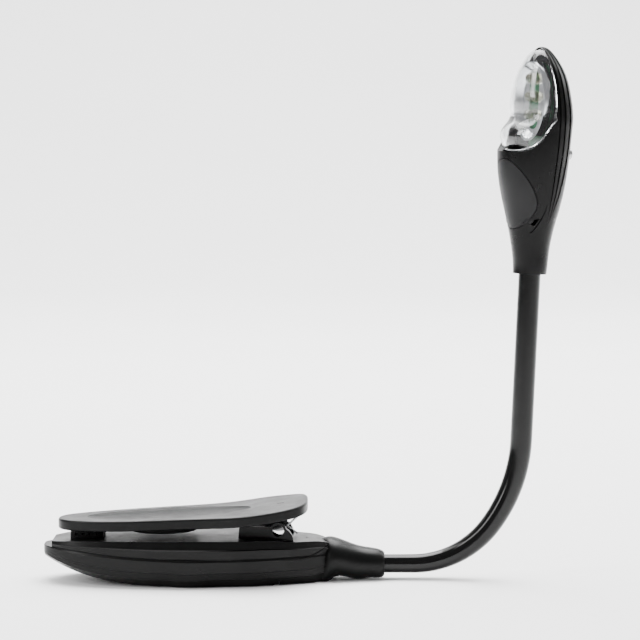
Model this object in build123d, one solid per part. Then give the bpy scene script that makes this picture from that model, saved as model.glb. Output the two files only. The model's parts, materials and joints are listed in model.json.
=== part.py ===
"""Clip-on reading lamp: battery base with a sprung clip lever, a gooseneck and an LED head.

Frame: millimetres, +Z up, origin on the flat underside just behind the battery door.
+X runs along the base towards the neck, and Y runs across the base.
The head has a frame of its own: u is the way the light faces, v is across, h runs up the head.
"""
from build123d import *
import os
from math import cos, pi, radians, sin, sqrt

# ---- power cells and their bay ----
CELL_DIAMETER = 10.5
CELL_LENGTH = 44.5
CELL_BUTTON_RADIUS = 1.9
CELL_BUTTON_LENGTH = 0.9
CELL_EDGE = 0.5
CELL_GAP = 0.3
CELL_PLAY = 0.1
BAY_TO_ORIGIN = 2.5
CONTACT_THICKNESS = 0.4
CONTACT_SPRING_LENGTH = 3.2
CONTACT_SPRING_RADIUS = 2.2
CONTACT_WIRE_RADIUS = 0.3
CONTACT_TURNS = 3
CONTACT_HALF_HEIGHT = 3.4
CONTACT_HALF_WIDTH = 4.2
BULKHEAD = 1.2

# ---- base casing ----
WALL = 1.2
DOOR_THICKNESS = 1.2
DOOR_GAP = 0.2
REST_RECESS = 0.3
DECK_WALL = 1.3
SIDE_BELLY = 5.0
NOSE_LENGTH = 20.4
TAIL_LENGTH = 30.5
COLLAR_END_HALF = 3.95
SEAM_HEIGHT = 8.2
RIM_PROUD = 0.35
NOSE_BOTTOM = 7.6
KEEL_TRIM = 0.15
TAIL_LIFT = 1.5
TAIL_DROP = 2.2
TAIL_HALF_WIDTH = 4.6
SCREW_RADIUS = 0.95
SCREW_HEAD_RADIUS = 1.75
SCREW_HEAD_HEIGHT = 1.2
SCREW_PLAY = 0.02
BOSS_RADIUS = 2.3

# ---- clip ----
PIN_RADIUS = 1.2
PIN_HEAD_RADIUS = 1.7
PIN_PLAY = 0.05
PIN_HEIGHT = 15.4
PIN_FROM_BAY = 0.4
LUG_OUTER_Y = 8.2
LUG_THICKNESS = 2.1
EAR_OUTER_Y = 5.9
EAR_THICKNESS = 2.6
EAR_RADIUS = 2.15
LUG_LENGTH = 16.0
LEVER_TIP = 64.2
LEVER_TAIL = 8.6
LEVER_HALF_WIDTH = 16.4
LEVER_THICKNESS = 3.0
COIL_RADIUS = 1.85
COIL_WIRE_RADIUS = 0.3
COIL_TURNS = 5
PAD_LENGTH = 9.6
PAD_HALF_WIDTH = 5.6
PAD_FROM_PIN = 55.6
PAD_PLAY = 0.02
DISC_RADIUS = 10.4
DISC_THICKNESS = 1.5
DISC_FROM_PIN = 33.6

# ---- neck ----
NECK_HEIGHT = 4.4
NECK_BASE_RADIUS = 2.7
NECK_TOP_RADIUS = 3.2
NECK_TAPER_LENGTH = 55.0
CORE_RADIUS = 1.7
CORE_PLAY = 0.03
NECK_PLAY = 0.05
JOINT_PLAY = 0.15
NECK_STRAIGHT = 8.4
NECK_LOW_RADIUS = 28.0
NECK_LOW_TURN = 54.0
NECK_HIGH_RADIUS = 46.0
NECK_HIGH_TURN = 33.5
NECK_RISE = 48.4
NECK_END_MARGIN = 7.0
NECK_JOINTS = 8
NECK_SOCKET = 11.0
LEAD_RADIUS = 0.5
LEAD_HEIGHT = 4.7
FERRULE_WALL = 0.7
FERRULE_LENGTH = 3.0

# ---- head ----
HEAD_LENGTH = 65.3
HEAD_HALF_WIDTH = 10.9
HEAD_FRONT = 11.3
HEAD_BACK = 9.75
HEAD_TURN = 32.0
HEAD_WALL = 1.3
HEAD_SOCKET = 9.0
LAYER_STEP = 0.28
LENS_WALL = 1.0
LENS_SET_IN = 0.35
FLANGE = 0.8
SEAM_WIDTH = 0.35
SEAM_DEPTH = 0.5
BOARD_FRONT = 0.3
BOARD_THICKNESS = 1.0
LED_RADIUS = 1.5
LED_FLANGE_RADIUS = 1.8
LED_LENGTH = 4.0
LED_DOME = 1.2
LED_PITCH = 5.1
LED_COUNT = 3
REFLECTOR_WALL = 0.5
REFLECTOR_DEPTH = 2.2
BUTTON_HALF_WIDTH = 7.6
BUTTON_HALF_LENGTH = 9.9
BUTTON_GAP = 0.22
BUTTON_WALL = 1.2
BUTTON_LIP = 0.9
BUTTON_TRAVEL = 0.6
SWITCH_SIZE = 6.0
PLUNGER_RADIUS = 1.2
HEAD_SCREW_Y = 5.6

# ---- sizes worked out from the ones above ----
CELL_Z = REST_RECESS + DOOR_THICKNESS + CELL_PLAY + CELL_DIAMETER / 2
CELL_Y = (CELL_DIAMETER + CELL_GAP) / 2
DECK_HEIGHT = CELL_Z + CELL_DIAMETER / 2 + CELL_PLAY + DECK_WALL
BASE_HALF_WIDTH = CELL_Y + CELL_DIAMETER / 2 + CELL_PLAY + WALL + SIDE_BELLY
BAY_HALF = (CELL_LENGTH + CONTACT_SPRING_LENGTH) / 2 + CONTACT_THICKNESS
BAY_CENTRE_X = -BAY_TO_ORIGIN - BAY_HALF
BAY_START = BAY_CENTRE_X - BAY_HALF
BAY_END = BAY_CENTRE_X + BAY_HALF
BAY_HALF_WIDTH = CELL_Y + CELL_DIAMETER / 2 + CELL_PLAY
NOSE_X = BAY_START - NOSE_LENGTH
COLLAR_END = BAY_END + TAIL_LENGTH
PIN_X = BAY_END - PIN_FROM_BAY
WIDEST_X = BAY_CENTRE_X
NECK_LENGTH = (
    NECK_STRAIGHT
    + NECK_LOW_RADIUS * radians(NECK_LOW_TURN)
    + NECK_HIGH_RADIUS * radians(NECK_HIGH_TURN)
    + NECK_RISE
)
NECK_PITCH = (NECK_LENGTH - 2 * NECK_END_MARGIN) / (NECK_JOINTS - 1)
WINDOW_CENTRE = 0.78 * HEAD_LENGTH
BUTTON_CENTRE = 0.35 * HEAD_LENGTH
BIG = 200.0


def save(node, shape):
    """Write one sub-part to its own STEP file."""
    export_step(shape, f"parts/{node}.step")


def along(x, points):
    """Straight-line value at x on a short outline of (x, value) points."""
    if x <= points[0][0]:
        return points[0][1]
    for (x0, v0), (x1, v1) in zip(points, points[1:]):
        if x <= x1:
            return v0 + (v1 - v0) * (x - x0) / (x1 - x0)
    return points[-1][1]


def box_between(x0, x1, y0, y1, z0, z1):
    """Box from its lowest to its highest corner."""
    return Pos((x0 + x1) / 2, (y0 + y1) / 2, (z0 + z1) / 2) * Box(x1 - x0, y1 - y0, z1 - z0)


def rod_z(x, y, z0, z1, radius):
    """Upright round rod."""
    return Pos(x, y, (z0 + z1) / 2) * Cylinder(radius, z1 - z0)


def rod_y(x, z, y0, y1, radius):
    """Round rod across the base."""
    return Pos(x, (y0 + y1) / 2, z) * Rot(90, 0, 0) * Cylinder(radius, y1 - y0)


def rod_x(x0, x1, y, z, radius):
    """Round rod along the base."""
    return Pos((x0 + x1) / 2, y, z) * Rot(0, 90, 0) * Cylinder(radius, x1 - x0)


def side_prism(outline, half_width=BIG):
    """Prism across Y from a closed face drawn in X and Z."""
    return extrude(Plane.XZ * outline, half_width, both=True)


# ---------------------------------------------------------------- base casing
def nose_fraction(x, start=WIDEST_X):
    """0 at start and 1 at the nose."""
    return max(0.0, (start - x) / (start - NOSE_X))


def smooth_step(value, low, high):
    """0 below low, 1 above high, smooth between."""
    share = min(1.0, max(0.0, (value - low) / (high - low)))
    return share * share * (3 - 2 * share)


def tail_share(x):
    """0 at the lugs and 1 where the casing has sunk into the collar."""
    return smooth_step(x, PIN_X + 8.5, PIN_X + 17.5)


def half_width(x):
    """Half width of the casing at its rim: a leaf that narrows to the collar."""
    if x <= WIDEST_X:
        return BASE_HALF_WIDTH * sqrt(max(0.0, 1 - nose_fraction(x) ** 2.2))
    share = min(1.0, (x - WIDEST_X) / (COLLAR_END - COLLAR_END_HALF * 2 - WIDEST_X)) ** 1.25
    wide = COLLAR_END_HALF + 1.2 + (BASE_HALF_WIDTH - COLLAR_END_HALF - 1.2) * (1 + cos(pi * share)) / 2
    return wide + (TAIL_HALF_WIDTH - wide) * tail_share(x)


def deck_top(x):
    """Height of the deck, with the scoop behind the lugs and the hump at the collar."""
    drop = [
        (NOSE_X + 2.8, 1.5),
        (NOSE_X + 9, 0.9),
        (BAY_START, 0.3),
        (BAY_CENTRE_X, 0.0),
        (PIN_X - 4, 0.3),
        (PIN_X, 0.6),
        (PIN_X + 5, 1.3),
        (PIN_X + 9, 1.3),
        (PIN_X + 13, 0.7),
        (PIN_X + 20, 1.0),
    ]
    return DECK_HEIGHT - along(x, drop) - TAIL_DROP * tail_share(x)


def keel(x):
    """Height of the underside: flat in the middle, rising to the nose."""
    return NOSE_BOTTOM * nose_fraction(x, WIDEST_X - 2.5) ** 3.2 - KEEL_TRIM + TAIL_LIFT * tail_share(x)


def seam_at(x):
    """Height of the split between the upper and the lower casing."""
    return SEAM_HEIGHT + 2.5 * nose_fraction(x) ** 1.6


def casing_section(x, proud, inset):
    """Closed section across the casing at x, with its lengthwise bands."""
    wide = half_width(x) + proud - inset
    low = keel(x) + inset
    high = deck_top(x) - inset
    seam = seam_at(x)
    below = seam - low
    above = high - seam
    nose = nose_fraction(x)
    band = 0.3 if inset == 0 else 0.0
    side = [
        (wide * (0.82 - 0.45 * nose**1.2), low),
        (wide * 0.915, low + 0.28 * below),
        (wide * 0.92 + band, low + 0.30 * below),
        (wide * 0.965, low + 0.52 * below),
        (wide * 0.965 + band, low + 0.54 * below),
        (wide, low + 0.93 * below),
        (wide - band, seam),
        (wide - 0.4 * band, seam + 0.50 * above),
        (wide * 0.985 - 1.5 * band, seam + 0.55 * above),
        (wide * 0.95 - 1.5 * band, high),
    ]
    corners = [(x, y, z) for y, z in side] + [(x, -y, z) for y, z in reversed(side)]
    return Wire.make_polygon(corners, close=True)


def casing_form(stations, proud=0.0, inset=0.0):
    """Smooth solid through casing sections."""
    return Solid.make_loft([casing_section(x, proud, inset) for x in stations])


def seam_line(shift=0.0):
    """Side view of the split: it falls from the nose, then sweeps up to the hump."""
    sweep = [
        (NOSE_X - 6, seam_at(NOSE_X) + 0.2),
        (NOSE_X + 5, seam_at(NOSE_X + 5)),
        (BAY_START, seam_at(BAY_START)),
        (BAY_CENTRE_X, SEAM_HEIGHT),
        (PIN_X - 2, SEAM_HEIGHT - 0.4),
        (PIN_X + 8, SEAM_HEIGHT - 0.6),
        (PIN_X + 13, SEAM_HEIGHT + 1.3),
        (PIN_X + 16.4, DECK_HEIGHT - 1.2),
        (PIN_X + 17.2, DECK_HEIGHT + 3),
    ]
    return Spline(*[(x, z + shift) for x, z in sweep])


def above_seam():
    """Everything above the split."""
    line = seam_line()
    top = DECK_HEIGHT + 20
    frame = Polyline(line @ 1, (line @ 1 + Vector(0, 17)), (NOSE_X - 6, top), line @ 0)
    return side_prism(make_face(line + frame))


def collar_form(inset=0.0):
    """Round tapered collar that grows out of the casing's tail."""
    rows = [
        (COLLAR_END - 22.9, 8.3, 6.1, 6.35),
        (COLLAR_END - 15.0, 6.7, 6.0, 6.30),
        (COLLAR_END - 10.0, 5.7, 5.15, 5.45),
        (COLLAR_END - 5.0, 4.9, 4.50, 4.80),
        (COLLAR_END - 2.2, 4.5, 4.25, NECK_HEIGHT + 0.2),
        (COLLAR_END - 0.8, COLLAR_END_HALF, COLLAR_END_HALF, NECK_HEIGHT),
        (COLLAR_END, COLLAR_END_HALF - 0.65, COLLAR_END_HALF - 0.65, NECK_HEIGHT),
    ]
    rings = [
        Plane(origin=(x, 0, z), x_dir=(0, 1, 0), z_dir=(1, 0, 0)) * Ellipse(a - inset, b - inset)
        for x, a, b, z in rows
    ]
    return loft(rings)


NOSE_STATIONS = [NOSE_X + d for d in (0.25, 0.8, 2.2, 4.6, 8.5, 14.0)]
MIDDLE_STATIONS = [BAY_START + 5, BAY_CENTRE_X - 8, BAY_CENTRE_X + 3, PIN_X - 9, PIN_X - 2]
TAIL_STATIONS = [PIN_X + 4, PIN_X + 9, PIN_X + 13, PIN_X + 17.5]
HULL_STATIONS = NOSE_STATIONS + MIDDLE_STATIONS + TAIL_STATIONS
DECK_STATIONS = [NOSE_X + d for d in (2.9, 3.8, 5.6, 9.0, 14.0)] + MIDDLE_STATIONS + TAIL_STATIONS
CAVITY_STATIONS = [NOSE_X + 6.5, NOSE_X + 10, NOSE_X + 15] + MIDDLE_STATIONS + [PIN_X + 4, PIN_X + 9]


def screw_places():
    """Base screws: one in the nose and one behind the lugs."""
    return [NOSE_X + 12.2, PIN_X + 6.6]


def screw_span(x):
    """Underside of the screw head and tip of the screw at x."""
    head = keel(x) + 2.4
    return head, deck_top(x) - 2.0


def base_screw(x):
    """Self-tapping screw, driven up from the underside."""
    head, tip = screw_span(x)
    screw = rod_z(x, 0, head - SCREW_HEAD_HEIGHT, head, SCREW_HEAD_RADIUS)
    screw += rod_z(x, 0, head, tip, SCREW_RADIUS)
    cross = box_between(x - 1.1, x + 1.1, -0.22, 0.22, head - SCREW_HEAD_HEIGHT, head - 0.6)
    return screw - cross - Pos(x, 0, 0) * Rot(0, 0, 90) * Pos(-x, 0, 0) * cross


def door_prism(inset, z0, z1):
    """Upright prism with the battery door's outline."""
    half = BAY_HALF_WIDTH + 0.2 - inset
    return box_between(BAY_START + inset, BAY_END - inset, -half, half, z0, z1)


def base_parts():
    """Lower casing, upper casing, battery door and base screws."""
    cavity = casing_form(CAVITY_STATIONS, 0, WALL)
    lower = casing_form(HULL_STATIONS, RIM_PROUD, 0)
    upper = casing_form(DECK_STATIONS)
    split = above_seam()
    socket = COLLAR_END - NECK_SOCKET
    bore = rod_x(socket, COLLAR_END + 1, 0, NECK_HEIGHT, NECK_BASE_RADIUS + NECK_PLAY)
    wire_half = BOSS_RADIUS + 2 * LEAD_RADIUS + 0.4
    wire_way = box_between(PIN_X + 5, socket, -wire_half, wire_half, LEAD_HEIGHT - 0.75, LEAD_HEIGHT + 0.75)
    for side in (-1, 1):
        wire_way += rod_x(BAY_END - 0.1, BAY_END + BULKHEAD + 1, side * CELL_Y, LEAD_HEIGHT, LEAD_RADIUS + 0.1)
    shell = lower + collar_form() - cavity

    bulkheads = box_between(BAY_START - BULKHEAD, BAY_START, -BIG, BIG, 0, BIG)
    bulkheads += box_between(BAY_END, BAY_END + BULKHEAD, -BIG, BIG, 0, BIG)
    hull = shell + (casing_form(CAVITY_STATIONS, 0, WALL) & bulkheads & box_between(-BIG, BIG, -BIG, BIG, 0, 11))
    hull = hull - bore - wire_way - ferrule_room()

    deck = ((upper + collar_form()) - cavity - bore - wire_way) & split
    for x in screw_places():
        head, tip = screw_span(x)
        post = rod_z(x, 0, keel(x) + 0.3, seam_at(x) - 0.1, BOSS_RADIUS)
        hull = hull + (post & lower)
        hull = hull - rod_z(x, 0, -1, head, SCREW_HEAD_RADIUS + 0.15)
        hull = hull - rod_z(x, 0, head, tip, SCREW_RADIUS + SCREW_PLAY)
        deck = deck + rod_z(x, 0, seam_at(x), deck_top(x) - 0.4, BOSS_RADIUS)
    for x in screw_places():
        head, tip = screw_span(x)
        deck = deck - rod_z(x, 0, 0, tip + 0.1, SCREW_RADIUS + SCREW_PLAY)
    hull = hull - split
    hull = hull - door_prism(0, -5, CELL_Z) - box_between(-BIG, BIG, -BIG, BIG, -5, 0)

    skin = Pos(0, 0, REST_RECESS) * casing_form(HULL_STATIONS, RIM_PROUD, 0)
    floor = REST_RECESS + DOOR_THICKNESS
    door = skin & door_prism(DOOR_GAP, REST_RECESS, floor)
    grip = box_between(BAY_END - 6, BAY_END - 5.4, -5, 5, REST_RECESS - 1, REST_RECESS + 0.35)
    for rib in range(4):
        door = door - Pos(-1.3 * rib, 0, 0) * grip

    deck = deck + hinge_lugs() - door_prism(0, 0, DECK_HEIGHT - DECK_WALL)
    pin_hole = rod_y(PIN_X, PIN_HEIGHT, -LUG_OUTER_Y - 2, LUG_OUTER_Y + 2, PIN_RADIUS + PIN_PLAY)
    deck = deck - pin_hole
    return hull, deck, door


def ferrule_room():
    """Room for the neck ferrule behind the collar's bore."""
    start = COLLAR_END - NECK_SOCKET
    radius = NECK_BASE_RADIUS + FERRULE_WALL + NECK_PLAY
    return rod_x(start - 0.1, start + FERRULE_LENGTH, 0, NECK_HEIGHT, radius)


def hinge_lugs():
    """Two upright lugs on the deck that hold the pin, each with a raised boss ring."""
    back = PIN_X + 4.4
    front = back - LUG_LENGTH
    low = deck_top(PIN_X + 4) - 0.8
    top = PIN_HEIGHT + 1.2
    profile = Polyline((back, low), (front, low), (front + 0.4, top), (PIN_X, top))
    curve = ThreePointArc((PIN_X, top), (PIN_X + 3.2, PIN_HEIGHT - 0.2), (back, low))
    lug = extrude(Plane.XZ * make_face(profile + curve), LUG_THICKNESS / 2, both=True)
    lug = lug + rod_y(PIN_X, PIN_HEIGHT, -LUG_THICKNESS / 2, LUG_THICKNESS / 2, 2.4)
    middle = LUG_OUTER_Y - LUG_THICKNESS / 2
    lugs = Pos(0, middle, 0) * lug + Pos(0, -middle, 0) * lug
    for side in (-1, 1):
        ends = sorted((side * (LUG_OUTER_Y - 0.1), side * (LUG_OUTER_Y + 0.4)))
        lugs = lugs + rod_y(PIN_X, PIN_HEIGHT, ends[0], ends[1], 2.4)
    return lugs


# ------------------------------------------------------------------------ clip
def lever_top(x):
    """Height of the lever's upper edge above the pin's axis."""
    rise = [
        (PIN_X - LEVER_TIP, 2.7),
        (PIN_X - 46, 3.25),
        (PIN_X - 22, 4.4),
        (PIN_X - 10, 5.3),
        (PIN_X - 3, 6.3),
        (PIN_X + 3, 7.2),
        (PIN_X + LEVER_TAIL, 8.6),
    ]
    return PIN_HEIGHT + along(x, rise)


def lever_low(x):
    """Height of the lever's underside."""
    return lever_top(x) - LEVER_THICKNESS


def lever_plan():
    """Outline of the lever from above: narrow at the tip and broad at the thumb tail."""
    tip = PIN_X - LEVER_TIP
    tail = PIN_X + LEVER_TAIL
    w = LEVER_HALF_WIDTH
    upper = Spline(
        (tip, 0),
        (tip + 7.2, 0.52 * w),
        (tip + 26, 0.78 * w),
        (tip + 46, 0.90 * w),
        (tail - 10, w),
        (tail - 3.6, 0.83 * w),
        (tail, 0),
        tangents=[(0, 1), (0, -1)],
        tangent_scalars=[1.3, 1.6],
    )
    return make_face(upper + mirror(upper, Plane.XZ))


def lever_side():
    """Side view of the lever plate, with its curled tail."""
    ends = [PIN_X - LEVER_TIP - 1, PIN_X + LEVER_TAIL + 1]
    xs = [ends[0], PIN_X - 46, PIN_X - 34, PIN_X - 22, PIN_X - 10, PIN_X - 3, PIN_X + 3, ends[1]]
    top = Spline(*[(x, lever_top(x)) for x in xs])
    low = Spline(*[(x, lever_low(x)) for x in xs])
    closing = Line(top @ 0, low @ 0) + Line(top @ 1, low @ 1)
    return make_face(top + low + closing)


def lever_part():
    """Lever plate with its dished top, its two ears and the stop tab under the tail."""
    plate = extrude(lever_plan(), 40) & side_prism(lever_side())
    rim = plate.edges().filter_by(lambda e: e.length > 40)
    plate = fillet(rim, 0.55)
    dish_x = PIN_X - 32
    dish = scale(Sphere(1), by=(24, 10, 1.7))
    plate = plate - Pos(dish_x, 0, lever_top(dish_x) + 0.35) * Rot(0, -3, 0) * dish
    slot = box_between(PIN_X - 0.4, PIN_X + 1.6, -0.35, 0.35, lever_top(PIN_X) - 0.6, lever_top(PIN_X) + 2)
    plate = plate - slot
    for side in (-1, 1):
        middle = side * (EAR_OUTER_Y - EAR_THICKNESS / 2)
        root = lever_low(PIN_X) + 0.6
        web = Polyline(
            (PIN_X - EAR_RADIUS, PIN_HEIGHT),
            (PIN_X - EAR_RADIUS - 5.0, root - 0.4),
            (PIN_X + EAR_RADIUS + 0.8, root + 0.5),
            (PIN_X + EAR_RADIUS, PIN_HEIGHT),
            close=True,
        )
        ear = extrude(Plane.XZ * make_face(web), EAR_THICKNESS / 2, both=True)
        ear = ear + rod_y(PIN_X, PIN_HEIGHT, -EAR_THICKNESS / 2, EAR_THICKNESS / 2, EAR_RADIUS)
        plate = plate + Pos(0, middle, 0) * ear
    tab_x = PIN_X + 5.2
    plate = plate + box_between(tab_x - 1.0, tab_x + 0.9, -2, 2, lever_low(tab_x) - 1.1, lever_low(tab_x) + 0.8)
    pin_hole = rod_y(PIN_X, PIN_HEIGHT, -EAR_OUTER_Y - 1, EAR_OUTER_Y + 1, PIN_RADIUS + PIN_PLAY)
    return plate - pin_hole


def hinge_pin():
    """Cross pin with a domed head at each end."""
    reach = LUG_OUTER_Y + 0.4
    pin = rod_y(PIN_X, PIN_HEIGHT, -reach, reach, PIN_RADIUS)
    dome = PIN_HEAD_RADIUS * 1.3
    depth = sqrt(dome**2 - PIN_HEAD_RADIUS**2)
    for side in (-1, 1):
        ball = Pos(PIN_X, side * (reach - depth), PIN_HEIGHT) * Sphere(dome)
        cut = box_between(PIN_X - 5, PIN_X + 5, -reach, reach, PIN_HEIGHT - 5, PIN_HEIGHT + 5)
        pin = pin + (ball - cut)
    return pin


def coil_spring(radius, wire_radius, length, turns):
    """Open coil along +Z from the origin, with flat-ended wire."""
    helix = Helix(pitch=length / turns, height=length, radius=radius)
    start = Plane(origin=helix @ 0, z_dir=helix % 0)
    return sweep(start * Circle(wire_radius), path=helix, is_frenet=True)


def torsion_spring():
    """Coil round the pin between the lever's ears, with a leg on the deck and one under the tail."""
    length = 2 * (EAR_OUTER_Y - EAR_THICKNESS) - 1.6
    coil = coil_spring(COIL_RADIUS, COIL_WIRE_RADIUS, length, COIL_TURNS)
    coil = Pos(PIN_X, length / 2, PIN_HEIGHT) * Rot(90, 0, 0) * coil
    reach = 5.6
    deck_z = deck_top(PIN_X + reach) + COIL_WIRE_RADIUS + 0.45
    tail_z = lever_low(PIN_X + reach) - 1.5
    legs = []
    for y, z in ((length / 2, deck_z), (-length / 2, tail_z)):
        start = Vector(PIN_X + COIL_RADIUS, y, PIN_HEIGHT)
        end = Vector(PIN_X + reach, y, z)
        leg = Solid.make_cylinder(COIL_WIRE_RADIUS, (end - start).length, Plane(start, z_dir=end - start))
        legs.append(leg + Pos(*start) * Sphere(COIL_WIRE_RADIUS + 0.06))
    return coil + legs[0] + legs[1]


def clip_pads():
    """The two rubber jaw pads and the round pad under the lever."""
    x = PIN_X - PAD_FROM_PIN
    x0 = x - PAD_LENGTH / 2
    x1 = x + PAD_LENGTH / 2
    mid = (deck_top(x) + lever_low(x)) / 2
    blank = box_between(x0, x1, -PAD_HALF_WIDTH, PAD_HALF_WIDTH, mid - 5, mid + 5)
    blank = fillet(blank.edges().filter_by(Axis.Z), 2.0)
    upper_deck = casing_form(DECK_STATIONS)
    plate = extrude(lever_plan(), 40) & side_prism(lever_side())
    lower = (blank & box_between(x0, x1, -BIG, BIG, 5, mid - PAD_PLAY / 2)) - upper_deck
    upper = (blank & box_between(x0, x1, -BIG, BIG, mid + PAD_PLAY / 2, lever_top(x))) - plate
    for rib in range(4):
        groove = box_between(x0 + 1.5 + 2 * rib, x0 + 2.0 + 2 * rib, -BIG, BIG, mid - 0.35, mid + 0.35)
        lower = lower - groove
        upper = upper - groove
    disc_x = PIN_X - DISC_FROM_PIN
    disc_low = lever_low(disc_x) - DISC_THICKNESS
    disc = rod_z(disc_x, 0, disc_low, lever_top(disc_x), DISC_RADIUS)
    disc = chamfer(disc.edges().group_by(Axis.Z)[0], 0.4) - plate
    return keep_low(lower), keep_low(upper), keep_low(disc)


def keep_low(shape):
    """The lowest solid of what a cut leaves."""
    return min(shape.solids(), key=lambda s: s.center().Z)


# ----------------------------------------------------------------------- cells
def cell(button_end):
    """Round cell on the X axis: button_end is +1 or -1."""
    body_length = CELL_LENGTH - CELL_BUTTON_LENGTH
    can = Rot(0, 90, 0) * Cylinder(CELL_DIAMETER / 2, body_length)
    can = fillet(can.edges(), CELL_EDGE)
    nub_x = button_end * body_length / 2
    nub = rod_x(nub_x - 0.5, nub_x + 0.5, 0, 0, CELL_BUTTON_RADIUS)
    nub = Pos(button_end * (CELL_BUTTON_LENGTH - 0.5), 0, 0) * nub
    return Pos(-button_end * CELL_BUTTON_LENGTH / 2, 0, 0) * (can + nub)


def power_parts():
    """Two cells head to tail, with a spring behind each flat end."""
    left = BAY_START + CONTACT_THICKNESS
    right = BAY_END - CONTACT_THICKNESS
    spring = coil_spring(CONTACT_SPRING_RADIUS, CONTACT_WIRE_RADIUS, CONTACT_SPRING_LENGTH - 0.7, CONTACT_TURNS)
    low = CELL_Z - CONTACT_HALF_HEIGHT
    high = CELL_Z + CONTACT_HALF_HEIGHT
    w = CONTACT_HALF_WIDTH
    parts = {
        "battery_cell_front": Pos(right - CELL_LENGTH / 2, -CELL_Y, CELL_Z) * cell(1),
        "battery_cell_rear": Pos(left + CELL_LENGTH / 2, CELL_Y, CELL_Z) * cell(-1),
        "contact_spring_bridge": Pos(left + 0.35, -CELL_Y, CELL_Z) * Rot(0, 90, 0) * spring,
        "contact_spring_negative": Pos(right - 0.35, CELL_Y, CELL_Z) * Rot(0, -90, 0) * spring,
        "contact_bridge": box_between(BAY_START, left, -CELL_Y - w, CELL_Y + w, low, high),
        "contact_positive": box_between(right, BAY_END, -CELL_Y - w, -CELL_Y + w, low, high),
        "contact_negative": box_between(right, BAY_END, CELL_Y - w, CELL_Y + w, low, high),
    }
    return parts


def leads():
    """Two leads from the contacts, through the bulkhead and past the screw boss, to the neck's core."""
    end = COLLAR_END - NECK_SOCKET - 0.1
    past = BOSS_RADIUS + LEAD_RADIUS + 0.2
    wires = {}
    for name, side in (("lead_positive", -1), ("lead_negative", 1)):
        route = FilletPolyline(
            (BAY_END + 0.01, side * CELL_Y, LEAD_HEIGHT),
            (BAY_END + BULKHEAD + 1.6, side * CELL_Y, LEAD_HEIGHT),
            (PIN_X + 4.0, side * past, LEAD_HEIGHT),
            (PIN_X + 9.5, side * past, LEAD_HEIGHT),
            (PIN_X + 12.5, side * 0.75, LEAD_HEIGHT),
            (end, side * 0.75, LEAD_HEIGHT),
            radius=0.7,
        )
        start = Plane(origin=route @ 0, z_dir=route % 0)
        wires[name] = sweep(start * Circle(LEAD_RADIUS), path=route)
    return wires


# ------------------------------------------------------------------------ neck
def neck_point(s):
    """Place (x, z) and slope in degrees of the neck's centre line at length s from the collar."""
    x, z, turn = COLLAR_END, NECK_HEIGHT, 0.0
    stretch = min(s, NECK_STRAIGHT)
    x += stretch
    s -= stretch
    for radius, sweep_angle in ((NECK_LOW_RADIUS, NECK_LOW_TURN), (NECK_HIGH_RADIUS, NECK_HIGH_TURN)):
        used = min(max(s, 0.0), radius * radians(sweep_angle))
        new_turn = turn + used / radius * 180 / pi
        x += radius * (sin(radians(new_turn)) - sin(radians(turn)))
        z += radius * (cos(radians(turn)) - cos(radians(new_turn)))
        turn = new_turn
        s -= used
    if s > 0:
        x += s * cos(radians(turn))
        z += s * sin(radians(turn))
    return x, z, turn


def neck_radius(s):
    """Sleeve radius: a little slimmer at the base."""
    share = min(1.0, max(0.0, s / NECK_TAPER_LENGTH))
    return NECK_BASE_RADIUS + (NECK_TOP_RADIUS - NECK_BASE_RADIUS) * share * share * (3 - 2 * share)


def neck_plane(s):
    """Plane across the neck at s, with its normal along the neck."""
    x, z, turn = neck_point(s)
    return Plane(origin=(x, 0, z), x_dir=(0, 1, 0), z_dir=(cos(radians(turn)), 0, sin(radians(turn))))


def neck_pivot(k):
    """Length from the collar to joint k."""
    return NECK_END_MARGIN + k * NECK_PITCH


def tube(start, end, radius_at):
    """Round solid along the neck from start to end."""
    count = 5
    stations = [start + (end - start) * i / (count - 1) for i in range(count)]
    return loft([neck_plane(s) * Circle(radius_at(s)) for s in stations])


def neck_segment(k):
    """Sleeve and core of segment k: ball end towards the head, cup towards the base."""
    first = k == 0
    last = k == NECK_JOINTS
    start = -NECK_SOCKET if first else neck_pivot(k - 1)
    end = NECK_LENGTH + HEAD_SOCKET if last else neck_pivot(k)
    sleeve = tube(start, end, neck_radius)
    core = tube(start, end, lambda s: CORE_RADIUS)
    bore = tube(start - 0.5, end + 0.5, lambda s: CORE_RADIUS + CORE_PLAY)
    if last:
        return largest(sleeve - bore - cup_ball(start)), largest(core - cup_ball(start))
    reach = neck_radius(end)
    joint = neck_plane(end).location
    ball = joint * Sphere(reach)
    sleeve = sleeve + (ball & half_space(end))
    sleeve = sleeve - bore
    sleeve = sleeve - joint * (Pos(0, 0, reach) * Cylinder(CORE_RADIUS + 1.6 * CORE_PLAY, 2 * reach + 0.6))
    core = core + (joint * (Pos(0, 0, reach) * Cylinder(CORE_RADIUS, 2 * reach)) & ball)
    if not first:
        sleeve = sleeve - cup_ball(start)
        core = core - cup_ball(start)
    return largest(sleeve), largest(core)


def cup_ball(s):
    """Ball that hollows the start of a segment, with play round the ball end before it."""
    return neck_plane(s).location * Sphere(neck_radius(s) + JOINT_PLAY)


def half_space(s):
    """Block ahead of the plane across the neck at s."""
    return neck_plane(s).location * (Pos(0, 0, 10) * Box(20, 20, 20))


def largest(shape):
    """The largest solid of a shape."""
    return max(shape.solids(), key=lambda part: part.volume)


def ferrule(s, towards):
    """Crimped ring on the neck's end at s, reaching back from the end by its length."""
    plane = neck_plane(s)
    inside = NECK_PLAY / 2 + neck_radius(s)
    ring = Cylinder(inside + FERRULE_WALL - NECK_PLAY, FERRULE_LENGTH) - Cylinder(inside, FERRULE_LENGTH + 1)
    return plane.location * (Pos(0, 0, towards * FERRULE_LENGTH / 2) * ring)


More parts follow.
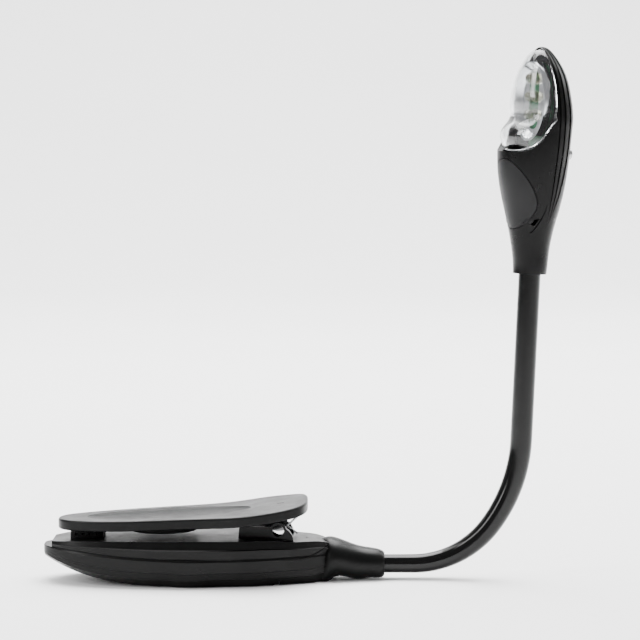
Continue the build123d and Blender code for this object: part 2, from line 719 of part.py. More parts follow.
# ------------------------------------------------------------------------ head
def head_location():
    """Head frame: X faces the way the light shines, Y is across, Z runs up the head."""
    x, z, turn = neck_point(NECK_LENGTH)
    up = Vector(cos(radians(turn)), 0, sin(radians(turn)))
    back = Vector(sin(radians(turn)), 0, -cos(radians(turn)))
    face = back.rotate(Axis((0, 0, 0), tuple(up)), 180 + HEAD_TURN)
    return Plane(origin=(x, 0, z), x_dir=face, z_dir=up).location


HEAD_ROWS = [
    (0.000, 0.44, 0.44, 0.492),
    (0.107, 0.50, 0.51, 0.54),
    (0.184, 0.58, 0.61, 0.61),
    (0.322, 0.79, 0.83, 0.80),
    (0.429, 0.90, 0.97, 0.90),
    (0.547, 0.975, 1.01, 0.955),
    (0.645, 1.00, 1.01, 0.995),
    (0.725, 0.985, 0.98, 0.99),
    (0.800, 0.90, 0.88, 0.90),
    (0.870, 0.775, 0.75, 0.76),
    (0.930, 0.57, 0.56, 0.56),
    (0.972, 0.35, 0.34, 0.36),
    (1.000, 0.10, 0.09, 0.11),
]


LENS_FRONT = [
    (0.500, 0.96),
    (0.600, 0.965),
    (0.635, 0.90),
    (0.657, 0.76),
    (0.680, 0.62),
    (0.730, 0.61),
    (0.800, 0.64),
    (0.870, 0.57),
    (0.930, 0.45),
    (0.965, 0.33),
    (0.985, 0.19),
]


def head_section(row, inset):
    """Egg-shaped section across the head, pulled in by inset."""
    share, wide, front, back = row
    b = max(0.3, wide * HEAD_HALF_WIDTH - inset)
    f = max(0.3, front * HEAD_FRONT - inset)
    r = max(0.3, back * HEAD_BACK - inset)
    return Wire(egg_edges(share * HEAD_LENGTH, b, f, r))


def egg_edges(h, b, f, r):
    """Front and rear half ellipses that meet at the widest line."""
    plane = Plane(origin=(0, 0, h))
    front = plane * EllipticalCenterArc((0, 0), f, b, start_angle=-90, arc_size=180)
    rear = plane * EllipticalCenterArc((0, 0), r, b, start_angle=90, arc_size=180)
    return front.edges() + rear.edges()


def head_form(inset=0.0, layer=0.0):
    """Whole head as one solid; layer pulls it in only above the collar."""
    rows = HEAD_ROWS
    insets = [inset + layer * smooth_step(row[0], 0.2, 0.42) for row in rows]
    return Solid.make_loft([head_section(row, depth) for row, depth in zip(rows, insets)])


def head_cavity(wall):
    """Inside of the head, clear of the collar and the tip."""
    rows = [row for row in HEAD_ROWS if 0.18 < row[0] < 0.94]
    return Solid.make_loft([head_section(row, wall) for row in rows])


def h_at(share):
    """Height on the head at a share of its length."""
    return share * HEAD_LENGTH


def seam_curve():
    """Side view of the split between the front and the rear shell, up to the lens flange."""
    return Spline(
        (HEAD_FRONT * 0.72, h_at(0.166)),
        (HEAD_FRONT * 0.40, h_at(0.184)),
        (HEAD_FRONT * 0.30, h_at(0.214)),
        (HEAD_FRONT * 0.19, h_at(0.255)),
        (HEAD_FRONT * 0.10, h_at(0.335)),
        (FLANGE, h_at(0.48)),
        (FLANGE, h_at(0.60)),
    )


def front_region():
    """Everything ahead of the split line."""
    curve = seam_curve()
    far = HEAD_FRONT + 10
    frame = Polyline(curve @ 1, (FLANGE, h_at(1.1)), (far, h_at(1.1)), (far, (curve @ 0).Y), curve @ 0)
    return side_prism(make_face(curve + frame))


def rim_curve():
    """Side view of the front shell's upper rim, where the lens begins."""
    return Spline(
        (FLANGE - 1, h_at(0.690)),
        (FLANGE + 2.6, h_at(0.625)),
        (HEAD_FRONT * 0.52, h_at(0.572)),
        (HEAD_FRONT * 0.75, h_at(0.543)),
        (HEAD_FRONT + 1, h_at(0.540)),
    )


def above_rim():
    """Everything above the front shell's rim."""
    curve = rim_curve()
    top = h_at(1.1)
    frame = Polyline(curve @ 1, ((curve @ 1).X, top), ((curve @ 0).X, top), curve @ 0)
    return side_prism(make_face(curve + frame))


def lens_form(inset):
    """Smooth clear dome: a chin that follows the front shell, then a shallow window up to the tip."""
    widths = [(row[0], row[1]) for row in HEAD_ROWS]
    backs = [(row[0], row[3]) for row in HEAD_ROWS]
    rows = [(share, along(share, widths), front, along(share, backs)) for share, front in LENS_FRONT]
    return Solid.make_loft([head_section(row, inset) for row in rows])


def ahead_of(u):
    """Block ahead of the plane at depth u."""
    return box_between(u, HEAD_FRONT + 10, -BIG, BIG, -5, h_at(1.1))


def rear_layer(start, low, peak):
    """Side view of one raised layer on the rear shell, behind a bowed line."""
    bow = Spline((start, h_at(low)), (start - peak * 0.8, h_at(0.45)), (start - peak, h_at(0.68)), (start, h_at(1.02)))
    frame = Polyline(bow @ 1, (-HEAD_BACK - 5, h_at(1.02)), (-HEAD_BACK - 5, h_at(low) + 1.5), bow @ 0)
    return side_prism(make_face(bow + frame))


def head_shells():
    """Rear shell with its collar and stepped back, and the front shell under the lens."""
    ahead = front_region()
    cavity = head_cavity(HEAD_WALL + 3 * LAYER_STEP)
    front_cavity = head_cavity(HEAD_WALL)
    rear = head_form(0, 3 * LAYER_STEP)
    for count, (start, low, peak) in enumerate(((0.3, 0.16, 1.0), (-0.2, 0.20, 2.4), (-0.8, 0.25, 4.2))):
        rear = rear + (head_form(0, (2 - count) * LAYER_STEP) & rear_layer(start, low, peak))
    groove = (head_form() - head_form(SEAM_DEPTH)) & (Pos(-SEAM_WIDTH, 0, -SEAM_WIDTH) * ahead)
    rear = rear - ahead - cavity - groove
    front = (head_form() & ahead) - above_rim() - front_cavity
    x_bore = Pos(0, 0, HEAD_SOCKET / 2) * Cylinder(NECK_TOP_RADIUS + NECK_PLAY, HEAD_SOCKET)
    wire_bore = Pos(0, 0, HEAD_SOCKET + 3) * Cylinder(CORE_RADIUS + 0.3, 8)
    rear = rear - x_bore - wire_bore
    for side in (-1, 1):
        rear = rear + (head_screw_rod(side, -HEAD_BACK, FLANGE - 0.7, 2.0) & head_form(0.3, 3 * LAYER_STEP))
        front = front + ((head_screw_rod(side, FLANGE - 0.6, HEAD_FRONT, 2.0) & head_form(0.5)) - above_rim())
    for side in (-1, 1):
        rear = rear - head_screw_rod(side, -HEAD_BACK - 1, -HEAD_BACK * 0.66, SCREW_HEAD_RADIUS + 0.1)
        rear = rear - head_screw_rod(side, -HEAD_BACK, FLANGE + 1, SCREW_RADIUS + SCREW_PLAY)
        front = front - head_screw_rod(side, -1, HEAD_FRONT * 0.45, SCREW_RADIUS + SCREW_PLAY)
    front = front - button_prism(BUTTON_GAP, BUTTON_TRAVEL + 0.4)
    return largest(rear), largest(front)


def head_screw_rod(side, u0, u1, radius):
    """Rod on a head screw's line, from u0 to u1."""
    return rod_x(u0, u1, side * HEAD_SCREW_Y, h_at(0.535), radius)


def head_screws():
    """The two screws that join the shells, driven in from the back."""
    head_end = -HEAD_BACK * 0.66
    screws = []
    for side in (-1, 1):
        screw = head_screw_rod(side, head_end - SCREW_HEAD_HEIGHT, head_end, SCREW_HEAD_RADIUS)
        screw = screw + head_screw_rod(side, head_end, HEAD_FRONT * 0.42, SCREW_RADIUS)
        cross_x = head_end - SCREW_HEAD_HEIGHT
        y, z = side * HEAD_SCREW_Y, h_at(0.535)
        screw = screw - box_between(cross_x, cross_x + 0.6, y - 1.1, y + 1.1, z - 0.22, z + 0.22)
        screw = screw - box_between(cross_x, cross_x + 0.6, y - 0.22, y + 0.22, z - 1.1, z + 1.1)
        screws.append(screw)
    return Compound(children=[part for screw in screws for part in screw.solids()])


def button_prism(gap, deeper=0.0):
    """Oval prism along u that cuts the button's outline, wider by gap and starting deeper."""
    oval = Ellipse(BUTTON_HALF_WIDTH + gap, BUTTON_HALF_LENGTH + gap)
    plane = Plane(origin=(FLANGE + 1.2 - deeper, 0, BUTTON_CENTRE), x_dir=(0, 1, 0), z_dir=(1, 0, 0))
    return extrude(plane * oval, 20)


def button_back():
    """Distance from the head's axis to the button's inner face."""
    return HEAD_FRONT * along(BUTTON_CENTRE / HEAD_LENGTH, [(r[0], r[2]) for r in HEAD_ROWS]) - BUTTON_WALL - 1.4


def switch_button():
    """Oval press button that follows the front shell, with a lip that keeps it in."""
    room = Pos(BUTTON_TRAVEL + 0.6, 0, 0.6) * front_region()
    face = (head_form() - head_cavity(BUTTON_WALL)) & button_prism(0)
    lip = (head_cavity(HEAD_WALL + 0.12) - head_cavity(HEAD_WALL + 0.9)) & button_prism(BUTTON_LIP) & room
    inner = (head_cavity(BUTTON_WALL - 0.1) - head_cavity(HEAD_WALL + 0.9)) & button_prism(-0.3) & room
    stem_end = button_back()
    stem = rod_x(stem_end, stem_end + 2.2, 0, BUTTON_CENTRE, 2.0) & head_form(0.6)
    return largest(face + inner + lip + stem)


def lens_cover():
    """Clear cover: hollow, open at the back and where it sits on the front shell."""
    outer = lens_form(LENS_SET_IN) & ahead_of(FLANGE) & above_rim()
    return largest(outer - lens_form(LENS_SET_IN + LENS_WALL))


def board_face():
    """Outline of the LED board in v and h: an oval with a tongue down to the switch."""
    oval = Pos(0, WINDOW_CENTRE - 1.2) * Ellipse(HEAD_HALF_WIDTH - 4.2, h_at(0.17))
    tongue = Pos(0, (BUTTON_CENTRE + WINDOW_CENTRE) / 2 - 3.5) * Rectangle(SWITCH_SIZE + 0.6, WINDOW_CENTRE - BUTTON_CENTRE + 1)
    return oval + tongue


def across_plane(u):
    """Plane at depth u, drawn with v to the right and h up."""
    return Plane(origin=(u, 0, 0), x_dir=(0, 1, 0), z_dir=(1, 0, 0))


def led_heights():
    """Heights of the LEDs, one above the other in the window."""
    middle = (LED_COUNT - 1) / 2
    return [WINDOW_CENTRE + LED_PITCH * (i - middle) for i in range(LED_COUNT)]


def led(h):
    """Flanged round LED with a domed tip."""
    body = rod_x(BOARD_FRONT, BOARD_FRONT + LED_LENGTH, 0, 0, LED_RADIUS)
    body = fillet(body.edges().sort_by(Axis.X)[-1], LED_DOME)
    return Pos(0, 0, h) * (body + rod_x(BOARD_FRONT, BOARD_FRONT + 0.7, 0, 0, LED_FLANGE_RADIUS))


def reflector():
    """Bright oval dish round the LEDs, with a slot that they stand in."""
    low = BOARD_FRONT + 0.75
    high = low + REFLECTOR_DEPTH
    outline = Pos(0, WINDOW_CENTRE - 1.2) * Ellipse(HEAD_HALF_WIDTH - 3.4, h_at(0.175))
    mouth = Pos(0, WINDOW_CENTRE - 1.2) * Ellipse(HEAD_HALF_WIDTH - 4.0, h_at(0.165))
    floor = Pos(0, WINDOW_CENTRE - 1.2) * Ellipse(HEAD_HALF_WIDTH - 5.6, h_at(0.142))
    slot_length = LED_PITCH * (LED_COUNT - 1) + 2 * LED_FLANGE_RADIUS + 3.0
    slot = Pos(0, WINDOW_CENTRE - 1.2) * Rot(0, 0, 90) * SlotOverall(slot_length, 2 * LED_FLANGE_RADIUS + 0.8)
    block = extrude(across_plane(low) * outline, high - low)
    dish = loft([across_plane(low + REFLECTOR_WALL) * floor, across_plane(high + 0.1) * mouth])
    bowl = block - dish - extrude(across_plane(low - 1) * slot, 5)
    bowl = bowl & head_cavity(HEAD_WALL + 3 * LAYER_STEP + 0.1)
    return largest(bowl & lens_form(LENS_SET_IN + LENS_WALL + 0.1))


def head_inner_parts():
    """Board, LEDs, reflector, resistor, switch with its plunger, and the neck leads."""
    board = extrude(across_plane(BOARD_FRONT - BOARD_THICKNESS) * board_face(), BOARD_THICKNESS)
    board = board & head_cavity(HEAD_WALL + 3 * LAYER_STEP + 0.2)
    plunger_end = button_back() - 2.6
    switch_front = plunger_end + 0.9
    half = SWITCH_SIZE / 2
    h = BUTTON_CENTRE
    switch = box_between(BOARD_FRONT, switch_front, -half, half, h - half, h + half)
    switch = switch - rod_x(plunger_end - BUTTON_TRAVEL - 0.2, 20, 0, h, PLUNGER_RADIUS + 0.08)
    back = BOARD_FRONT - BOARD_THICKNESS
    resistor_h = h_at(0.50)
    resistor = rod_y(back - 1.0, resistor_h, -2.4, 2.4, 0.9)
    for side in (-1, 1):
        resistor = resistor + rod_y(back - 1.0, resistor_h, min(side * 2.2, side * 3.0), max(side * 2.2, side * 3.0), 0.3)
        resistor = resistor + box_between(back - 1.3, back, side * 2.8 - 0.3, side * 2.8 + 0.3, resistor_h - 0.3, resistor_h + 0.3)
    parts = {
        "led_board": board,
        "reflector": reflector(),
        "switch_body": switch,
        "switch_plunger": rod_x(plunger_end, button_back(), 0, h, PLUNGER_RADIUS),
        "resistor": resistor,
        "head_leads": head_leads(),
    }
    for i, height in enumerate(led_heights()):
        parts[f"led_{i + 1}"] = led(height)
    return parts


def head_leads():
    """Two short leads from the neck's core to the lower end of the board."""
    wires = []
    for side in (-1, 1):
        route = FilletPolyline(
            (0, side * 0.75, HEAD_SOCKET + 0.3),
            (0, side * 0.75, HEAD_SOCKET + 4.0),
            (BOARD_FRONT - BOARD_THICKNESS - 0.5, side * 1.6, HEAD_SOCKET + 7.4),
            (BOARD_FRONT - BOARD_THICKNESS - 0.5, side * 1.6, HEAD_SOCKET + 12.5),
            radius=1.5,
        )
        wires.append(sweep(Plane(origin=route @ 0, z_dir=route % 0) * Circle(0.45), path=route))
    return Compound(children=[part for wire in wires for part in wire.solids()])


# ------------------------------------------------------------------------ build
def main():
    """Build every sub-part and write it to parts/."""
    os.makedirs("parts", exist_ok=True)
    hull, deck, door = base_parts()
    deck_pad, jaw_pad, grip_disc = clip_pads()
    base = {
        "base_hull": largest(hull),
        "base_deck": largest(deck),
        "battery_door": largest(door),
        "base_screws": Compound(children=[part for x in screw_places() for part in base_screw(x).solids()]),
        "lever": largest(lever_part()),
        "hinge_pin": hinge_pin(),
        "torsion_spring": torsion_spring(),
        "deck_pad": deck_pad,
        "jaw_pad": jaw_pad,
        "grip_disc": grip_disc,
        "neck_ferrule_base": ferrule(-NECK_SOCKET, 1),
    }
    for group in (base, power_parts(), leads()):
        for node, shape in group.items():
            save(node, shape)
    for k in range(NECK_JOINTS + 1):
        sleeve, core = neck_segment(k)
        save(f"neck_sleeve_{k}", sleeve)
        save(f"neck_core_{k}", core)

    place = head_location()
    rear, front = head_shells()
    head = {
        "head_rear_shell": rear,
        "head_front_shell": front,
        "lens_cover": lens_cover(),
        "switch_button": switch_button(),
        "head_screws": head_screws(),
    }
    head.update(head_inner_parts())
    for node, shape in head.items():
        save(node, place * shape)


main()
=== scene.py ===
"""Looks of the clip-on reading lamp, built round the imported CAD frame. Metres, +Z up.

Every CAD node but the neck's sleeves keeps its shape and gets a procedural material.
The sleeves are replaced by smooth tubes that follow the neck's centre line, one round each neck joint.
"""
import json
import math

import bmesh
import bpy
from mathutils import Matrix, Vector


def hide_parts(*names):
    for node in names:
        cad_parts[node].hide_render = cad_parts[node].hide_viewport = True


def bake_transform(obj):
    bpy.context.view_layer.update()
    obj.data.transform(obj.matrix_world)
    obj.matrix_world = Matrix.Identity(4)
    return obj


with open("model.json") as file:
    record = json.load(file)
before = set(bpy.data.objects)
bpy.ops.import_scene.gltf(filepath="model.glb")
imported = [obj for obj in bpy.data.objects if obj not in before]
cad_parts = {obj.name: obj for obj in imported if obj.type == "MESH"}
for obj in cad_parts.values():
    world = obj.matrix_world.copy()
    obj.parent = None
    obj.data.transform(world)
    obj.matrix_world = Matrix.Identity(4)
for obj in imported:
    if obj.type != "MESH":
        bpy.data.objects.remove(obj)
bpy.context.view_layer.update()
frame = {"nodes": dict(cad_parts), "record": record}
nodes = frame["nodes"]

# ---- neck, as in the CAD ----
COLLAR_END = 0.0280
NECK_HEIGHT = 0.0044
NECK_BASE_RADIUS = 0.0027
NECK_TOP_RADIUS = 0.0032
NECK_TAPER_LENGTH = 0.055
NECK_STRAIGHT = 0.0084
NECK_LOW_BEND = (0.028, math.radians(54.0))
NECK_HIGH_BEND = (0.046, math.radians(33.5))
NECK_BENDS = (NECK_LOW_BEND, NECK_HIGH_BEND)
NECK_RISE = 0.0484
NECK_LENGTH = NECK_STRAIGHT + sum(radius * sweep for radius, sweep in NECK_BENDS) + NECK_RISE
NECK_END_MARGIN = 0.007
NECK_JOINTS = 8
NECK_PITCH = (NECK_LENGTH - 2 * NECK_END_MARGIN) / (NECK_JOINTS - 1)

# ---- the neck's smooth tubes ----
NECK_HIDDEN = 0.004
BEND_REACH = 0.0055
RING_STEP = 0.0009
RING_SIDES = 40

# ---- material detail: noise scales in cells per metre ----
NOISE_LOW = 0.3
NOISE_HIGH = 0.7
BLOTCH_SCALE = 45.0
BLOTCH_SHADE = 0.25
BLOTCH_LIFT = 0.0006
HANDLED_SCALE = 120.0
HANDLED_ROUGHNESS = 0.07
TARNISH_SCALE = 160.0
TARNISH_SHADE = 0.82
METAL_LINE_DEPTH = 0.00001
METAL_LINE_STRENGTH = 0.3
METAL_SMOOTHEST = 0.7
METAL_ROUGHEST = 1.4

# ---- paper sweep ----
PAPER_FRONT = -6.0
PAPER_HALF_WIDTH = 8.0
PAPER_TOP = 5.0
SWEEP_START = 1.2
SWEEP_RADIUS = 0.6
SWEEP_STEPS = 16

# ---- lights and camera ----
LAMP_CENTRE = (0.01, 0, 0.07)
BACKDROP_CENTRE = (0.0, 1.7, 0.3)
WORLD_STRENGTH = 0.40
CAMERA_DISTANCE = 0.70
CAMERA_PITCH = math.radians(4.6)
CAMERA_TARGET = Vector((0.0092, 0, 0.0758))
FRAME_WIDTH = 0.1856
SENSOR_WIDTH = 36.0


# -------------------------------------------------------------------- materials
class Mat:
    """A material with a Principled shader and short ways to add nodes."""

    def __init__(self, name):
        self.material = bpy.data.materials.new(name)
        self.material.use_nodes = True
        self.tree = self.material.node_tree
        self.shader = self.tree.nodes["Principled BSDF"]
        self.coords = self.tree.nodes.new("ShaderNodeTexCoord").outputs["Object"]

    def set(self, **values):
        """Put numbers straight onto the shader's sockets."""
        for key, value in values.items():
            self.shader.inputs[key.replace("_", " ")].default_value = value
        return self

    def link(self, output, socket):
        self.tree.links.new(output, socket)

    def noise(self, scale, detail=3.0, stretch=(1, 1, 1), roughness=0.5):
        """Noise over the object, one cell to 1/scale metres."""
        mapping = self.tree.nodes.new("ShaderNodeMapping")
        mapping.inputs["Scale"].default_value = stretch
        self.link(self.coords, mapping.inputs["Vector"])
        node = self.tree.nodes.new("ShaderNodeTexNoise")
        node.inputs["Scale"].default_value = scale
        node.inputs["Detail"].default_value = detail
        node.inputs["Roughness"].default_value = roughness
        self.link(mapping.outputs["Vector"], node.inputs["Vector"])
        return node.outputs["Fac"]

    def spread(self, output, low, high, from_low=NOISE_LOW, from_high=NOISE_HIGH):
        """Map the stretch from_low..from_high of a value to low..high."""
        node = self.tree.nodes.new("ShaderNodeMapRange")
        node.inputs["From Min"].default_value = from_low
        node.inputs["From Max"].default_value = from_high
        node.inputs["To Min"].default_value = low
        node.inputs["To Max"].default_value = high
        self.link(output, node.inputs["Value"])
        return node.outputs["Result"]

    def blend_colors(self, output, first, second):
        """Mix two colours by a 0..1 value."""
        node = self.tree.nodes.new("ShaderNodeMix")
        node.data_type = "RGBA"
        node.inputs["A"].default_value = (*first, 1)
        node.inputs["B"].default_value = (*second, 1)
        self.link(output, node.inputs["Factor"])
        return node.outputs["Result"]

    def bump(self, output, depth, strength):
        """Bump of a real depth in metres."""
        node = self.tree.nodes.new("ShaderNodeBump")
        node.inputs["Strength"].default_value = strength
        node.inputs["Distance"].default_value = depth
        self.link(output, node.inputs["Height"])
        return node.outputs["Normal"]

    def finish(self, color, rough, normal):
        """Join the colour, roughness and bump to the shader, and give the material."""
        self.link(color, self.shader.inputs["Base Color"])
        self.link(rough, self.shader.inputs["Roughness"])
        self.link(normal, self.shader.inputs["Normal"])
        return self.material


def moulded(name, color, rough, grain=2600.0, depth=0.00003, strength=0.35, **values):
    """Moulded plastic or rubber: fine texture, faint blotches and uneven gloss from handling."""
    mat = Mat(name).set(**values)
    fine = mat.noise(grain, detail=2.0)
    wide = mat.noise(BLOTCH_SCALE, detail=4.0)
    handled = mat.noise(HANDLED_SCALE, detail=5.0, roughness=0.65)
    light = tuple(min(1.0, c * (1 + BLOTCH_SHADE) + BLOTCH_LIFT) for c in color)
    dark = tuple(c * (1 - BLOTCH_SHADE) for c in color)
    shade = mat.blend_colors(mat.spread(wide, 0.0, 1.0), dark, light)
    gloss = mat.spread(handled, rough - HANDLED_ROUGHNESS, rough + HANDLED_ROUGHNESS)
    return mat.finish(shade, gloss, mat.bump(fine, depth, strength))


def metal(name, color, rough, stretch=(1, 1, 1), grain=900.0):
    """Metal with fine surface lines and faint tarnish."""
    mat = Mat(name).set(Metallic=1.0)
    lines = mat.noise(grain, detail=3.0, stretch=stretch)
    tarnish = mat.noise(TARNISH_SCALE, detail=4.0)
    dull = tuple(c * TARNISH_SHADE for c in color)
    shade = mat.blend_colors(mat.spread(tarnish, 0.0, 1.0), dull, color)
    gloss = mat.spread(lines, rough * METAL_SMOOTHEST, rough * METAL_ROUGHEST)
    return mat.finish(shade, gloss, mat.bump(lines, METAL_LINE_DEPTH, METAL_LINE_STRENGTH))


def clear_plastic():
    """Clear moulded plastic with a faint tint and flow waviness."""
    mat = Mat("lens_clear_look").set(Transmission_Weight=1.0, IOR=1.49)
    waves = mat.noise(70.0, detail=2.0)
    specks = mat.noise(700.0, detail=2.0)
    cool_tint = (0.93, 0.95, 0.96)
    clearest = (0.99, 0.99, 1.0)
    shade = mat.blend_colors(mat.spread(waves, 0.0, 1.0), cool_tint, clearest)
    gloss = mat.spread(specks, low=0.012, high=0.05)
    return mat.finish(shade, gloss, mat.bump(waves, depth=0.00004, strength=0.25))


def led_epoxy():
    """Cloudy, pale yellow epoxy."""
    mat = Mat("led_look").set(IOR=1.5, Transmission_Weight=0.85, Coat_Weight=0.6)
    cloud = mat.noise(420.0, detail=3.0)
    yellow = (0.78, 0.74, 0.50)
    milky = (0.93, 0.92, 0.82)
    shade = mat.blend_colors(mat.spread(cloud, 0.0, 1.0), yellow, milky)
    gloss = mat.spread(cloud, low=0.06, high=0.14)
    return mat.finish(shade, gloss, mat.bump(cloud, depth=0.00002, strength=0.2))


def board_look():
    """Circuit board: green solder mask over faint weave, with lighter streaks for tracks."""
    mat = Mat("board_look").set(Coat_Weight=0.3)
    weave = mat.noise(1500.0, detail=2.0, stretch=(1, 1, 3))
    tracks = mat.noise(260.0, detail=0.0, stretch=(1, 1, 0.2))
    track_edges = mat.spread(tracks, 0.0, 1.0, from_low=0.48, from_high=0.52)
    mask_green = (0.02, 0.12, 0.05)
    track_green = (0.04, 0.20, 0.09)
    shade = mat.blend_colors(track_edges, mask_green, track_green)
    gloss = mat.spread(weave, low=0.32, high=0.5)
    return mat.finish(shade, gloss, mat.bump(weave, depth=0.00002, strength=0.3))


def cell_look():
    """Plain grey film round a cell, with cloudy shade and gloss."""
    mat = Mat("cell_look").set(Metallic=0.6)
    film = mat.noise(300.0, detail=4.0)
    dark_grey = (0.10, 0.11, 0.13)
    light_grey = (0.20, 0.22, 0.25)
    shade = mat.blend_colors(mat.spread(film, 0.0, 1.0), dark_grey, light_grey)
    gloss = mat.spread(film, low=0.22, high=0.36)
    return mat.finish(shade, gloss, mat.bump(film, depth=0.00001, strength=0.2))


def paper_look():
    """Pale matte studio paper with faint fibre."""
    mat = Mat("paper_look")
    fibre = mat.noise(400.0, detail=4.0)
    wide = mat.noise(6.0, detail=2.0)
    pale = (0.93, 0.93, 0.93)
    palest = (0.95, 0.95, 0.95)
    shade = mat.blend_colors(mat.spread(wide, 0.0, 1.0), pale, palest)
    gloss = mat.spread(fibre, low=0.75, high=0.9)
    return mat.finish(shade, gloss, mat.bump(fibre, depth=0.00002, strength=0.1))


def neck_gloss():
    """Smooth, glossy black sleeve."""
    return moulded(
        "neck_look",
        color=(0.0010, 0.0010, 0.0010),
        rough=0.15,
        grain=900.0,
        depth=0.00002,
        Specular_IOR_Level=0.26,
    )


def pad_rubber():
    """Matte black rubber with a coarser, deeper texture than the plastics."""
    return moulded(
        "rubber_look",
        color=(0.003, 0.003, 0.003),
        rough=0.70,
        grain=1500.0,
        depth=0.00006,
        strength=0.5,
        Specular_IOR_Level=0.12,
    )


looks = {
    "shell_black": moulded("shell_look", (0.0020, 0.0021, 0.0020), 0.33, Specular_IOR_Level=0.13),
    "head_black": moulded("head_look", (0.0020, 0.0020, 0.0021), 0.31, Specular_IOR_Level=0.13),
    "button_black": moulded(
        "button_look", (0.0045, 0.0045, 0.0050), 0.40, grain=1800.0, Specular_IOR_Level=0.20
    ),
    "lever_black": moulded(
        "lever_look", (0.0034, 0.0036, 0.0036), 0.34, grain=2200.0, Specular_IOR_Level=0.11
    ),
    "neck_black": neck_gloss(),
    "pad_rubber": pad_rubber(),
    "wire_red": moulded("wire_red_look", (0.42, 0.02, 0.02), 0.35, grain=1200.0),
    "wire_black": moulded("wire_black_look", (0.012, 0.012, 0.012), 0.35, grain=1200.0),
    "resistor_body": moulded("resistor_look", (0.50, 0.36, 0.22), 0.30, grain=1200.0),
    "switch_plastic": moulded("switch_look", (0.05, 0.05, 0.05), 0.45, grain=1600.0),
    "core_aluminium": metal("core_look", (0.60, 0.60, 0.60), 0.35, stretch=(0.2, 1, 0.2)),
    "pin_chrome": metal("pin_look", (0.82, 0.82, 0.83), 0.12),
    "spring_steel": metal("spring_look", (0.55, 0.55, 0.56), 0.28),
    "screw_steel": metal("screw_look", (0.45, 0.45, 0.46), 0.30),
    "contact_plate": metal("contact_look", (0.62, 0.59, 0.52), 0.26, stretch=(1, 1, 0.1)),
    "reflector_silver": metal("reflector_look", (0.86, 0.87, 0.88), 0.16, grain=500.0),
    "lens_clear": clear_plastic(),
    "led_body": led_epoxy(),
    "board_green": board_look(),
    "cell_jacket": cell_look(),
}
slot_of = {entry["node"]: entry["material_slot"] for entry in frame["record"]["subparts"]}

for name, obj in nodes.items():
    look = looks[slot_of[name]]
    if not obj.material_slots:
        obj.data.materials.append(look)
    for material_slot in obj.material_slots:
        material_slot.material = look


# ------------------------------------------------------------------------- neck
def neck_point(s):
    """Place on the neck's centre line at length s from the collar, and its slope in radians."""
    x, z, turn = COLLAR_END, NECK_HEIGHT, 0.0
    used = min(s, NECK_STRAIGHT)
    x += used
    s -= used
    for radius, sweep in NECK_BENDS:
        used = min(max(s, 0.0), radius * sweep)
        end = turn + used / radius
        x += radius * (math.sin(end) - math.sin(turn))
        z += radius * (math.cos(turn) - math.cos(end))
        turn = end
        s -= used
    if s > 0:
        x += s * math.cos(turn)
        z += s * math.sin(turn)
    return Vector((x, 0, z)), turn


def neck_radius(s):
    """Radius at length s, which grows smoothly along the taper."""
    share = min(1.0, max(0.0, s / NECK_TAPER_LENGTH))
    return NECK_BASE_RADIUS + (NECK_TOP_RADIUS - NECK_BASE_RADIUS) * share * share * (3 - 2 * share)


def neck_pivot(k):
    """Length from the collar to neck joint k."""
    return NECK_END_MARGIN + k * NECK_PITCH


def neck_ring(build, s):
    """One round of points on the sleeve's surface at length s."""
    centre, turn = neck_point(s)
    across = Vector((0, 1, 0))
    up = Vector((-math.sin(turn), 0, math.cos(turn)))
    radius = neck_radius(s)
    ring = []
    for j in range(RING_SIDES):
        angle = 2 * math.pi * j / RING_SIDES
        ring.append(build.verts.new(centre + radius * (math.cos(angle) * across + math.sin(angle) * up)))
    return ring


def neck_piece(name, start, end):
    """Smooth open sleeve along the neck from start to end."""
    mesh = bpy.data.meshes.new(name)
    build = bmesh.new()
    count = max(2, round((end - start) / RING_STEP))
    rings = [neck_ring(build, start + (end - start) * i / count) for i in range(count + 1)]
    for low, high in zip(rings, rings[1:]):
        for j in range(RING_SIDES):
            after = (j + 1) % RING_SIDES
            face = build.faces.new((low[j], low[after], high[after], high[j]))
            face.smooth = True
    build.normal_update()
    build.to_mesh(mesh)
    build.free()
    obj = bpy.data.objects.new(name, mesh)
    bpy.context.scene.collection.objects.link(obj)
    obj.data.materials.append(looks["neck_black"])
    return obj


for k in range(NECK_JOINTS):
    low = -NECK_HIDDEN if k == 0 else (neck_pivot(k - 1) + neck_pivot(k)) / 2
    high = NECK_LENGTH + NECK_HIDDEN if k == NECK_JOINTS - 1 else (neck_pivot(k) + neck_pivot(k + 1)) / 2
    sleeve = neck_piece(f"neck_tube_{k}", low, high)
    before = neck_point(neck_pivot(k) - BEND_REACH)[0]
    after = neck_point(neck_pivot(k) + BEND_REACH)[0]
    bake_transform(sleeve)
    stands_for = [f"neck_sleeve_{k}"]
    if k == NECK_JOINTS - 1:
        stands_for.append(f"neck_sleeve_{k + 1}")
    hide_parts(*stands_for)


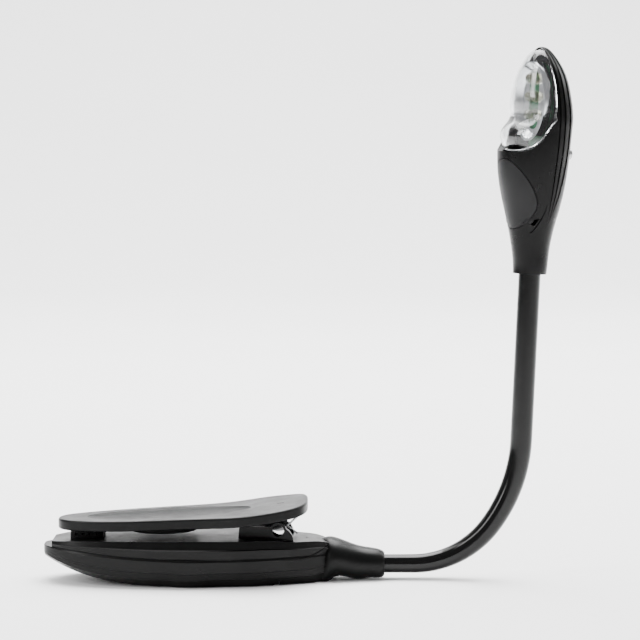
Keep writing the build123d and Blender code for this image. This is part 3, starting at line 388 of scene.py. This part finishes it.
# ------------------------------------------------------------------------ stage
def paper_sweep():
    """Floor that curves up into a backdrop behind the lamp, and carries on in front of it."""
    profile = [(PAPER_FRONT, 0.0), (SWEEP_START, 0.0)]
    for i in range(1, SWEEP_STEPS + 1):
        angle = math.pi / 2 * i / SWEEP_STEPS
        y = SWEEP_START + SWEEP_RADIUS * math.sin(angle)
        profile.append((y, SWEEP_RADIUS * (1 - math.cos(angle))))
    profile.append((SWEEP_START + SWEEP_RADIUS, PAPER_TOP))
    mesh = bpy.data.meshes.new("paper")
    verts = [(x, y, z) for y, z in profile for x in (-PAPER_HALF_WIDTH, PAPER_HALF_WIDTH)]
    faces = [(2 * i, 2 * i + 1, 2 * i + 3, 2 * i + 2) for i in range(len(profile) - 1)]
    mesh.from_pydata(verts, [], faces)
    for polygon in mesh.polygons:
        polygon.use_smooth = True
    obj = bpy.data.objects.new("paper", mesh)
    bpy.context.scene.collection.objects.link(obj)
    obj.data.materials.append(paper_look())
    return obj


def area_light(name, place, target, width, power, height=None):
    """Area light at place, facing target: a square, or a rectangle if it has a height."""
    data = bpy.data.lights.new(name, "AREA")
    data.energy = power
    data.size = width
    if height:
        data.shape = "RECTANGLE"
        data.size_y = height
    obj = bpy.data.objects.new(name, data)
    obj.location = place
    obj.rotation_euler = (Vector(target) - Vector(place)).to_track_quat("-Z", "Y").to_euler()
    bpy.context.scene.collection.objects.link(obj)


paper_sweep()
area_light("overhead", (0.05, 0.45, 1.3), LAMP_CENTRE, width=1.0, power=40.0)
area_light("key", (-0.95, -0.45, 0.75), LAMP_CENTRE, width=0.30, power=12.0, height=1.0)
area_light("rim", (0.9, 0.5, 0.8), LAMP_CENTRE, width=0.35, power=9.0, height=0.9)
area_light("paper_wash", (0.0, 0.9, 1.9), BACKDROP_CENTRE, width=2.2, power=90.0)

world = bpy.data.worlds.new("studio")
world.use_nodes = True
world.node_tree.nodes["Background"].inputs["Color"].default_value = (1, 1, 1, 1)
world.node_tree.nodes["Background"].inputs["Strength"].default_value = WORLD_STRENGTH
bpy.context.scene.world = world

# ----------------------------------------------------------------------- camera
camera_data = bpy.data.cameras.new("camera")
camera_data.sensor_width = SENSOR_WIDTH
camera_data.lens = SENSOR_WIDTH * CAMERA_DISTANCE / FRAME_WIDTH
camera = bpy.data.objects.new("camera", camera_data)
back = Vector((0, -math.cos(CAMERA_PITCH), math.sin(CAMERA_PITCH)))
camera.location = CAMERA_TARGET + CAMERA_DISTANCE * back
camera.rotation_euler = (-back).to_track_quat("-Z", "Y").to_euler()
bpy.context.scene.collection.objects.link(camera)
bpy.context.scene.camera = camera

bpy.context.view_layer.update()
